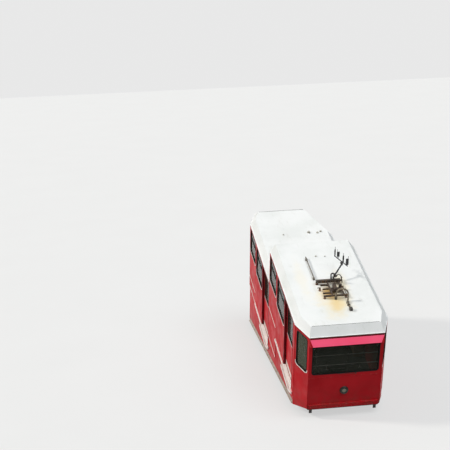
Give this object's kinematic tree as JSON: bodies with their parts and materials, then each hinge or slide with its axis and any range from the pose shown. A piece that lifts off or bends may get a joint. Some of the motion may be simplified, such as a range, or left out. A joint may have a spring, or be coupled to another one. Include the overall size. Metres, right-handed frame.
{
  "type": "funicular car",
  "caption": "Two-section stepped funicular car with sliding doors, bevelled roofs, roof collector, wedge underframe and one grooved and one drum wheel on each axle.",
  "frame": {"origin": "middle of the car's box at the lowest points of the wheel flanges, on the track's centre line", "axes": "+X to the right seen from the uphill end, +Y along the track downhill, +Z square to the track"},
  "size_m": [2.29, 8.7518, 3.6184],
  "materials": {
    "red_paint": "satin red coach paint",
    "roof_paint": "matt white roof paint",
    "window_glass": "tinted clear glass",
    "floor_cover": "studded rubber",
    "step_metal": "brushed aluminium",
    "lamp_rim": "polished rim",
    "lamp_glass": "clear lens",
    "desk_plastic": "grained plastic",
    "seat_plastic": "satin moulded seats",
    "pole_steel": "brushed stainless",
    "frame_paint": "satin dark grey",
    "wheel_steel": "worn steel",
    "spring_rubber": "rubber",
    "insulator": "glazed brown",
    "collector_metal": "weathered dark paint",
    "moulded_black": "moulded fittings",
    "hose_rubber": "weathered hose",
    "pole_paint": "grey paint"
  },
  "bodies": {
    "car": {"end_wall_uphill": "red_paint", "end_wall_downhill": "red_paint", "end_apron_downhill": "red_paint", "rear_wall_upper": "red_paint", "skirt_left": "red_paint", "skirt_right": "red_paint", "side_wall_upper_left": "red_paint", "side_wall_upper_right": "red_paint", "side_wall_lower_left": "red_paint", "side_wall_lower_right": "red_paint", "roof_upper": "roof_paint", "roof_lower": "roof_paint", "windscreens": "window_glass", "corner_glass": "window_glass", "rear_glass": "window_glass", "side_glass_left": "window_glass", "side_glass_right": "window_glass", "floor_upper": "floor_cover", "floor_lower": "floor_cover", "inner_steps": "floor_cover", "door_steps": "step_metal", "door_rails": "step_metal", "headlamps": "lamp_rim", "headlamp_lenses": "lamp_glass", "driver_desks": "desk_plastic", "benches_upper": "seat_plastic", "benches_lower": "seat_plastic", "grab_poles": "pole_steel", "sole_bars": "frame_paint", "cross_beams": "frame_paint", "floor_bearers_upper": "frame_paint", "floor_bearers_lower": "frame_paint", "axle_boxes": "frame_paint", "rail_brakes": "frame_paint", "rope_clevis": "frame_paint", "axle_springs": "spring_rubber", "collector_insulators": "insulator", "collector_base": "collector_metal", "roof_glands": "moulded_black", "collector_hose": "hose_rubber", "stowed_pole": "pole_paint"},
    "axle_set_uphill": {"axle_uphill": "wheel_steel", "wheels_uphill": "wheel_steel"},
    "axle_set_downhill": {"axle_downhill": "wheel_steel", "wheels_downhill": "wheel_steel"},
    "door_leaf_upper_left": {"door_upper_left": "red_paint", "door_glass_upper_left": "window_glass"},
    "door_leaf_upper_right": {"door_upper_right": "red_paint", "door_glass_upper_right": "window_glass"},
    "door_leaf_lower_left": {"door_lower_left": "red_paint", "door_glass_lower_left": "window_glass"},
    "door_leaf_lower_right": {"door_lower_right": "red_paint", "door_glass_lower_right": "window_glass"},
    "collector_arm_body": {"collector_arm": "collector_metal"},
    "collector_head_body": {"collector_head": "collector_metal"}
  },
  "joints": [
    {"name": "axle_turn_uphill", "type": "hinge", "parent": "car", "child": "axle_set_uphill", "pos_m": [0, -2.11493, 0.275], "axis": [1, 0, 0], "continuous": true},
    {"name": "axle_turn_downhill", "type": "hinge", "parent": "car", "child": "axle_set_downhill", "pos_m": [0, 2.23507, 0.275], "axis": [1, 0, 0], "continuous": true},
    {"name": "door_slide_upper_left", "type": "slide", "parent": "car", "child": "door_leaf_upper_left", "axis": [0, 0.9604, 0.2786], "range_m": [0, 1]},
    {"name": "door_slide_upper_right", "type": "slide", "parent": "car", "child": "door_leaf_upper_right", "axis": [0, 0.9604, 0.2786], "range_m": [0, 1]},
    {"name": "door_slide_lower_left", "type": "slide", "parent": "car", "child": "door_leaf_lower_left", "axis": [0, 0.9604, 0.2786], "range_m": [0, 1]},
    {"name": "door_slide_lower_right", "type": "slide", "parent": "car", "child": "door_leaf_lower_right", "axis": [0, 0.9604, 0.2786], "range_m": [0, 1]},
    {"name": "collector_lift", "type": "hinge", "parent": "car", "child": "collector_arm_body", "pos_m": [0.17, -2.4348, 3.03692], "axis": [0, -0.9604, -0.2786], "range_deg": [-20, 45]},
    {"name": "collector_head_level", "type": "hinge", "parent": "collector_arm_body", "child": "collector_head_body", "pos_m": [0.385, -2.24276, 3.23633], "axis": [0, 0.9604, 0.2786], "range_deg": [-30, 30]}
  ]
}
